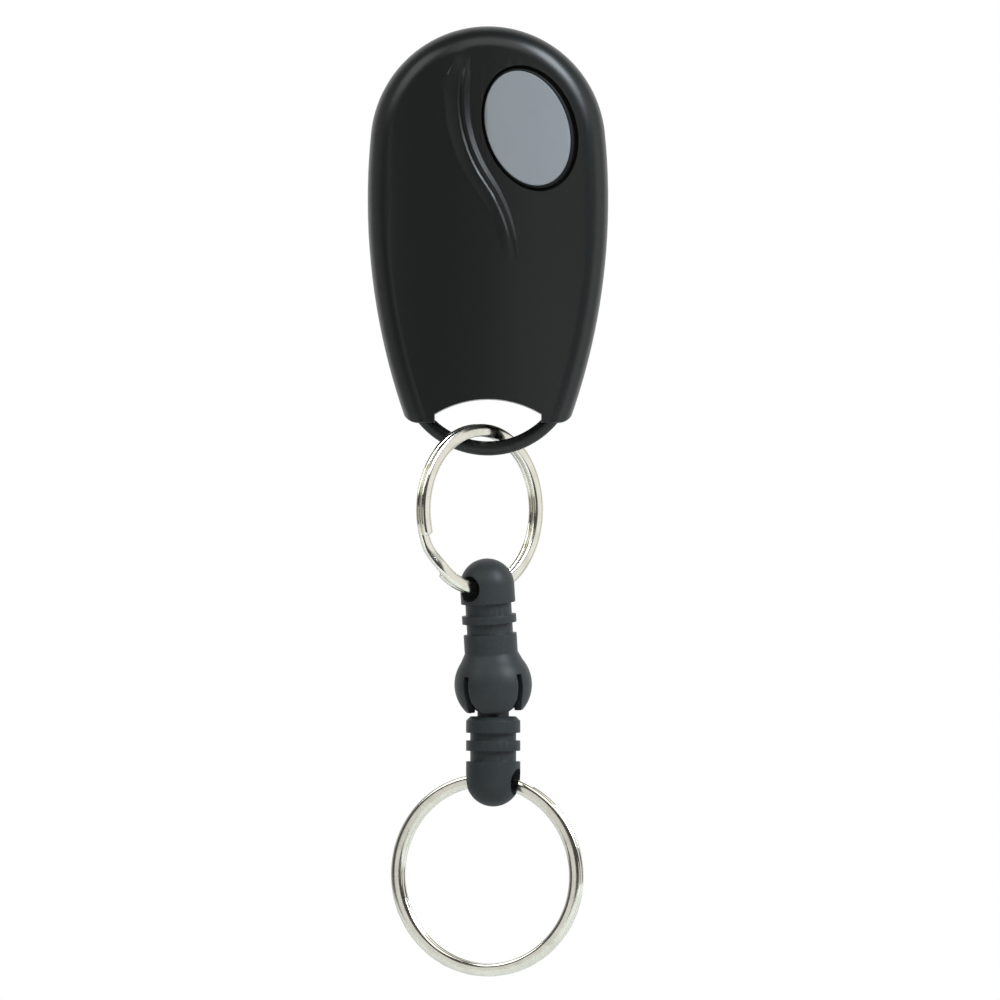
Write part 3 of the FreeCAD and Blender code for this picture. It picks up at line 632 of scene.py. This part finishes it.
@dataclass
class SplitRing:
    """A split ring of flattened wire wound twice, with the crowned faces that rolled wire has.

    Angles are in degrees, counted from the right over the top as seen from the front.

    Attributes:
        node: The ring's name in the model.
        body: The body that it moves with.
        turn: How far its plane is turned about the vertical, from facing the viewer.
        radius: Outer radius of the coil.
        width: Wire's width, from the outside of the coil to its inside.
        thickness: Wire's thickness, along the coil's axis.
        jog_start: Where the wire leaves the rear turn.
        jog_span: How far round it takes to reach the front turn.
        turn_gap: Gap between the two turns.
        front_gap: Gap between the front turn's end and the crossing.
        rear_gap: Gap between the rear turn's end and the crossing.
        roundness: Power of the section's outline: 2 is an ellipse, more is squarer.
        section_points: Corners of the section.
        step: Turn between two sections.
        tips: Turn from an end to each of the sections that close it.
        tip_size: Size of the section at the very end, against the full wire.
    """

    node: str
    body: str
    turn: float
    radius: float
    width: float
    thickness: float
    jog_start: float
    jog_span: float
    turn_gap: float = 0.1 * MM
    front_gap: float = 7.0
    rear_gap: float = 1.75
    roundness: float = 2.7
    section_points: int = 24
    step: float = 3.0
    tips: tuple[float, ...] = (0.0, 0.25, 0.6, 1.2)
    tip_size: float = 0.55

    def build(self) -> None:
        """Winds the wire in the place of the model's ring and gives it its nickel plate."""
        low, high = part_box(self.node)
        centre = (Vector(low) + Vector(high)) / 2
        angle = math.radians(self.turn)
        finish = PlatedMetal(
            name=f"nickel plate on {self.node}", colour=(0.88, 0.86, 0.76), dull=(0.76, 0.74, 0.63),
            smooth=0.11, rough=0.18, streak=Streak.ROUND_THE_RING, depth=0.0000007,
            centre=tuple(centre), axis=(-math.sin(angle), math.cos(angle), 0.0),
        )
        piece = self.wind(Matrix.Translation(centre) @ Matrix.Rotation(angle, 4, "Z"))
        dress(piece, finish.make())
        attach(piece, self.body)
        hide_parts(self.node)

    def stations(self) -> list[tuple[float, float, float]]:
        """Lists the sections along the wire.

        Returns:
            For each one its angle, its place along the coil's axis and its size, which drops at both ends.
        """
        away = (self.thickness + self.turn_gap) / 2
        sense = math.copysign(1.0, self.jog_span)
        whole = 360.0 - abs(self.jog_span)
        rear = whole - self.rear_gap
        front = whole - self.front_gap
        length = rear + abs(self.jog_span) + front
        count = round(length / self.step)
        places = [length * index / count for index in range(count + 1)]
        places = list(self.tips) + places[1:-1] + [length - tip for tip in reversed(self.tips)]
        found = []
        for place in places:
            share = min(1.0, max(0.0, (place - rear) / abs(self.jog_span)))
            crossed = share * share * (3 - 2 * share)
            near_end = min(1.0, min(place, length - place) / self.tips[-1])
            size = self.tip_size + (1 - self.tip_size) * math.sqrt(near_end * (2 - near_end))
            found.append((self.jog_start + sense * (place - rear), away * (1 - 2 * crossed), size))
        return found

    def wind(self, place: Matrix) -> bpy.types.Object:
        """Sweeps the wire's section along both turns.

        Args:
            place: From the ring's own axes to the model's.

        Returns:
            The wire.
        """
        shape = bmesh.new()
        rows = []
        for angle, along, size in self.stations():
            outward = Vector((math.cos(math.radians(angle)), 0.0, math.sin(math.radians(angle))))
            row = []
            for index in range(self.section_points):
                way = 2 * math.pi * index / self.section_points
                across, deep = (
                    math.copysign(abs(value) ** (2 / self.roundness), value) * size / 2
                    for value in (math.cos(way), math.sin(way))
                )
                point = outward * (self.radius - self.width / 2 + across * self.width)
                point.y = along + deep * self.thickness
                row.append(shape.verts.new(place @ point))
            rows.append(row)
        for first, second in zip(rows, rows[1:]):
            for index in range(self.section_points):
                after = (index + 1) % self.section_points
                shape.faces.new((first[index], first[after], second[after], second[index])).smooth = True
        shape.faces.new(reversed(rows[0]))
        shape.faces.new(rows[-1])
        bmesh.ops.recalc_face_normals(shape, faces=shape.faces)
        mesh = bpy.data.meshes.new(f"{self.node}_wire")
        shape.to_mesh(mesh)
        shape.free()
        piece = bpy.data.objects.new(f"{self.node}_wire", mesh)
        bpy.context.scene.collection.objects.link(piece)
        return piece


@dataclass
class SnapConnector:
    """The two halves of the snap-apart swivel connector.

    Attributes:
        crease: Angle in degrees above which an edge stays visible.
        edge: Rounding of the ribs' edges.
        upper: Finish of the half with the ball socket, bluish from real fading and coloured lighter than the
            ball half as painted light from above.
        lower: Finish of the half with the ball, coloured darker than the socket half as painted shade.
    """

    crease: float = 34.0
    edge: float = 0.10 * MM
    # The socket half is coloured lighter than the ball half as painted light from above, and the ball half
    # darker as painted shade; the bluish tone of both is real fading.
    upper: MouldedPlastic = MouldedPlastic(
        name="faded socket plastic with painted top light", colour=(0.024, 0.028, 0.029), polished=(0.034, 0.039, 0.040),
        rough=0.50, smooth=0.42, grain=3600.0, patch=260.0, depth=0.000005, ior=1.32,
    )
    lower: MouldedPlastic = MouldedPlastic(
        name="ball plastic with painted shade", colour=(0.020, 0.024, 0.025), polished=(0.028, 0.033, 0.034),
        rough=0.50, smooth=0.42, grain=3600.0, patch=260.0, depth=0.000005, ior=1.32,
    )

    def build(self, nodes: dict[str, bpy.types.Object]) -> None:
        """Smooths and dresses both halves.

        Args:
            nodes: The model's pieces by name.
        """
        for name, finish in (("swivel_socket", self.upper), ("swivel_ball", self.lower)):
            smooth_form(nodes[name], self.crease, self.edge)
            dress(nodes[name], finish.make())


@dataclass
class Electronics:
    """The board, switch, cell and small parts inside the case.

    Attributes:
        board: The circuit board's finish.
        copper: The loop antenna's finish.
        tin: Finish of the contacts, pins, switch metal and resonator can.
        cell: The coin cell's finish.
        switch: The switch base's finish.
        plunger: The switch stem's finish.
        epoxy: Finish of the chip, transistor and resistors.
        ceramic: Finish of the capacitors and the inductor.
        crease: Angle in degrees above which an edge stays visible.
    """

    board: MouldedPlastic = MouldedPlastic(
        name="green solder mask", colour=(0.020, 0.130, 0.045), polished=(0.028, 0.170, 0.060),
        rough=0.32, smooth=0.22, grain=2500.0, patch=300.0, depth=0.000002,
    )
    copper: PlatedMetal = PlatedMetal(
        name="tinned copper track", colour=(0.72, 0.44, 0.26), dull=(0.55, 0.33, 0.20),
        smooth=0.30, rough=0.45,
    )
    tin: PlatedMetal = PlatedMetal(
        name="tinned steel", colour=(0.72, 0.72, 0.70), dull=(0.55, 0.55, 0.53), smooth=0.24, rough=0.42,
    )
    cell: PlatedMetal = PlatedMetal(
        name="coin cell steel", colour=(0.68, 0.68, 0.66), dull=(0.52, 0.52, 0.50), smooth=0.22, rough=0.38,
    )
    switch: MouldedPlastic = MouldedPlastic(
        name="switch base plastic", colour=(0.012, 0.012, 0.012), polished=(0.020, 0.020, 0.020),
        rough=0.5, smooth=0.4,
    )
    plunger: MouldedPlastic = MouldedPlastic(
        name="switch plunger plastic", colour=(0.060, 0.060, 0.058), polished=(0.085, 0.085, 0.082),
        rough=0.5, smooth=0.4,
    )
    epoxy: MouldedPlastic = MouldedPlastic(
        name="chip epoxy", colour=(0.010, 0.010, 0.011), polished=(0.018, 0.018, 0.019),
        rough=0.55, smooth=0.45, grain=7000.0,
    )
    ceramic: MouldedPlastic = MouldedPlastic(
        name="fired ceramic", colour=(0.36, 0.24, 0.14), polished=(0.46, 0.32, 0.20), rough=0.6, smooth=0.5,
    )
    crease: float = 34.0

    def build(self, nodes: dict[str, bpy.types.Object]) -> None:
        """Smooths and dresses every piece inside the case.

        Args:
            nodes: The model's pieces by name.
        """
        finishes = {
            self.board: ("circuit_board",),
            self.copper: ("loop_antenna",),
            self.tin: (
                "switch_cover", "switch_terminals", "switch_dome", "battery_positive_clip",
                "battery_negative_contact", "encoder_pins", "saw_resonator",
            ),
            self.cell: ("coin_cell",),
            self.switch: ("switch_base",),
            self.plunger: ("switch_plunger",),
            self.epoxy: ("encoder_chip", "rf_transistor", "chip_resistors"),
            self.ceramic: ("chip_capacitors", "chip_inductor"),
        }
        for finish, names in finishes.items():
            material = finish.make()
            for name in names:
                smooth_form(nodes[name], self.crease)
                dress(nodes[name], material)


@dataclass
class SoftBox:
    """A soft lamp that looks at the fob.

    Attributes:
        name: The lamp's name.
        place: Where it stands.
        side: Length of its square face.
        power: Its power in watts.
        tint: Colour of its light.
    """

    name: str
    place: Point
    side: float
    power: float
    tint: Colour = (1.0, 1.0, 1.0)

    def build(self, target: Vector) -> None:
        """Sets up the lamp.

        Args:
            target: The point that it faces.
        """
        lamp = bpy.data.lights.new(self.name, "AREA")
        lamp.shape = "SQUARE"
        lamp.size = self.side
        lamp.energy = self.power
        lamp.color = self.tint
        holder = bpy.data.objects.new(self.name, lamp)
        holder.location = self.place
        holder.rotation_euler = (target - holder.location).to_track_quat("-Z", "Y").to_euler()
        bpy.context.scene.collection.objects.link(holder)


@dataclass
class Studio:
    """Plain pale floor, white background, soft lamps and the photograph's camera.

    Attributes:
        floor_drop: How far the floor lies below the chain.
        floor_radius: Radius of the floor.
        floor_sides: Corners of the floor's outline.
        camera_distance: From the camera to the middle of the fob's thickness.
        middle_depth: Depth of that middle.
        sensor: Width of the camera's sensor, in millimetres.
        sight: How far the camera sees.
        paper: The floor's darker and paler colour.
        paper_rough: The floor's roughness.
        paper_grain: Grain of the floor for each metre.
        paper_patch: Paler patches of the floor for each metre.
        behind: Direction to the back at which the white room starts and is full, as reflections show it.
        beside: Direction to a side at which its white screen starts and is full.
        level: Direction to front or back at which the side screens start to fade and are gone.
        ambient: Level of the light that comes from all round.
        front_level: Level of the room in front of the fob, as reflections show it.
        right_level: Level of the white screen on the right, as reflections show it.
        left_level: Level of the white screen on the left, as reflections show it.
        lamps: The soft lamps.
    """

    floor_drop: float = 32.0 * MM
    floor_radius: float = 0.34
    floor_sides: int = 96
    camera_distance: float = 1.2
    middle_depth: float = -6.0 * MM
    sensor: float = 36.0
    sight: float = 20.0
    paper: tuple[Colour, Colour] = ((0.80, 0.80, 0.79), (0.84, 0.84, 0.83))
    paper_rough: float = 0.8
    paper_grain: float = 900.0
    paper_patch: float = 20.0
    behind: tuple[float, float] = (0.15, 0.6)
    beside: tuple[float, float] = (0.8, 0.95)
    level: tuple[float, float] = (0.2, 0.35)
    ambient: float = 0.22
    front_level: float = 0.06
    right_level: float = 0.9
    left_level: float = 0.4
    lamps: tuple[SoftBox, ...] = field(
        default_factory=lambda: (
            SoftBox("softbox above", (0.0, -0.62, 0.52), 0.60, 1.65, (1.0, 1.0, 0.98)),
            SoftBox("softbox upper right", (0.48, -0.37, 0.45), 0.32, 5.0, (0.84, 0.93, 1.0)),
            SoftBox("softbox right", (0.605, -0.385, 0.28), 0.22, 1.25, (0.84, 0.93, 1.0)),
            SoftBox("softbox upper left", (-0.52, -0.34, 0.36), 0.40, 1.25, (0.94, 1.0, 0.97)),
            SoftBox("softbox front right", (0.30, -0.90, -0.25), 0.50, 0.5, (1.0, 1.0, 0.90)),
            SoftBox("softbox lower left", (-0.48, -0.58, -0.094), 0.24, 0.12),
        )
    )

    def build(self) -> None:
        """Sets up the camera, floor, world and lamps."""
        low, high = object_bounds()
        bpy.context.scene.view_settings.view_transform = "Standard"
        self.aim_camera()
        self.lay_floor(low.z - self.floor_drop)
        self.light_world()
        for lamp in self.lamps:
            lamp.build((low + high) / 2)
        LOG.info("studio ready")

    def aim_camera(self) -> None:
        """Looks along +Y from far off, so that a millimetre at the fob takes the photograph's pixels."""
        field_width = PICTURE_SIDE / PICTURE_SCALE * MM
        camera = bpy.data.cameras.new("photograph camera")
        camera.sensor_width = self.sensor
        camera.lens = self.sensor * self.camera_distance / field_width
        camera.clip_end = self.sight
        holder = bpy.data.objects.new("photograph camera", camera)
        holder.location = (
            (PICTURE_SIDE / 2 - PICTURE_CENTRE[0]) / PICTURE_SCALE * MM,
            self.middle_depth - self.camera_distance,
            (PICTURE_CENTRE[1] - PICTURE_SIDE / 2) / PICTURE_SCALE * MM,
        )
        holder.rotation_euler = (math.pi / 2, 0.0, 0.0)
        bpy.context.scene.collection.objects.link(holder)
        bpy.context.scene.camera = holder

    def lay_floor(self, level: float) -> None:
        """Lays the round pale floor below the chain.

        Args:
            level: Its height.
        """
        mesh = bpy.data.meshes.new("pale floor")
        shape = bmesh.new()
        bmesh.ops.create_circle(shape, cap_ends=True, radius=self.floor_radius, segments=self.floor_sides)
        shape.to_mesh(mesh)
        shape.free()
        floor = bpy.data.objects.new("pale floor", mesh)
        floor.location = (0.0, 0.0, level)
        bpy.context.scene.collection.objects.link(floor)
        material, sheet, shader = blank_material("pale floor paper")
        place = sheet.add("ShaderNodeTexCoord").outputs["Object"]
        grain = MouldGrain().place(sheet, place, Grain=self.paper_grain, Patch=self.paper_patch)
        sheet.wire(sheet.blend(grain.outputs["Polish"], *self.paper), shader.inputs["Base Color"])
        shader.inputs["Roughness"].default_value = self.paper_rough
        mesh.materials.append(material)
        floor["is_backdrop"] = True

    def light_world(self) -> None:
        """Gives a white background, even light from all round and a darker room in front in reflections."""
        world = bpy.data.worlds.new("studio")
        bpy.context.scene.world = world
        world.use_nodes = True
        tree = world.node_tree
        tree.nodes.clear()
        sheet = NodeSheet(tree)
        output = sheet.add("ShaderNodeOutputWorld")
        background = sheet.add("ShaderNodeBackground")
        background.inputs["Color"].default_value = (1.0, 1.0, 1.0, 1.0)
        path = sheet.add("ShaderNodeLightPath")
        direction = sheet.add("ShaderNodeSeparateXYZ")
        sheet.wire(sheet.add("ShaderNodeTexCoord").outputs["Generated"], direction.inputs[0])
        start, full = self.beside
        behind = sheet.spread(direction.outputs["Y"], self.behind, (self.front_level, 1.0))
        right = sheet.spread(direction.outputs["X"], (start, full), (0.0, self.right_level))
        left = sheet.spread(direction.outputs["X"], (-full, -start), (self.left_level, 0.0))
        aside = sheet.math("ADD", right, left)
        off_level = sheet.math("ABSOLUTE", direction.outputs["Y"])
        level_with_fob = sheet.spread(off_level, self.level, (1.0, 0.0))
        screens = sheet.math("MULTIPLY", aside, level_with_fob)
        room = sheet.math("MAXIMUM", behind, screens)
        mirrored = sheet.math("MAXIMUM", path.outputs["Is Glossy Ray"], path.outputs["Is Transmission Ray"])
        seen = path.outputs["Is Camera Ray"]
        level = sheet.math("MULTIPLY_ADD", mirrored, sheet.math("SUBTRACT", room, self.ambient), self.ambient)
        level = sheet.math("MAXIMUM", level, seen)
        sheet.wire(level, background.inputs["Strength"])
        sheet.wire(background.outputs["Background"], output.inputs["Surface"])


def main() -> None:
    """Builds every sub-assembly around the fixed frame."""
    logging.basicConfig(level=logging.INFO, format="%(name)s: %(message)s")
    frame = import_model()
    nodes = frame["nodes"]
    Studio().build()
    CaseShells().build(nodes)
    PushButton().build(nodes)
    Electronics().build(nodes)
    SplitRing(
        "small_split_ring", "small_ring", turn=45.0, radius=11.9 * MM, width=1.75 * MM, thickness=0.75 * MM,
        jog_start=205.0, jog_span=24.0,
    ).build()
    SnapConnector().build(nodes)
    SplitRing(
        "large_split_ring", "large_ring", turn=-20.0, radius=14.09 * MM, width=1.8 * MM, thickness=0.8 * MM,
        jog_start=86.0, jog_span=-22.0,
    ).build()


if __name__ == "__main__":
    main()
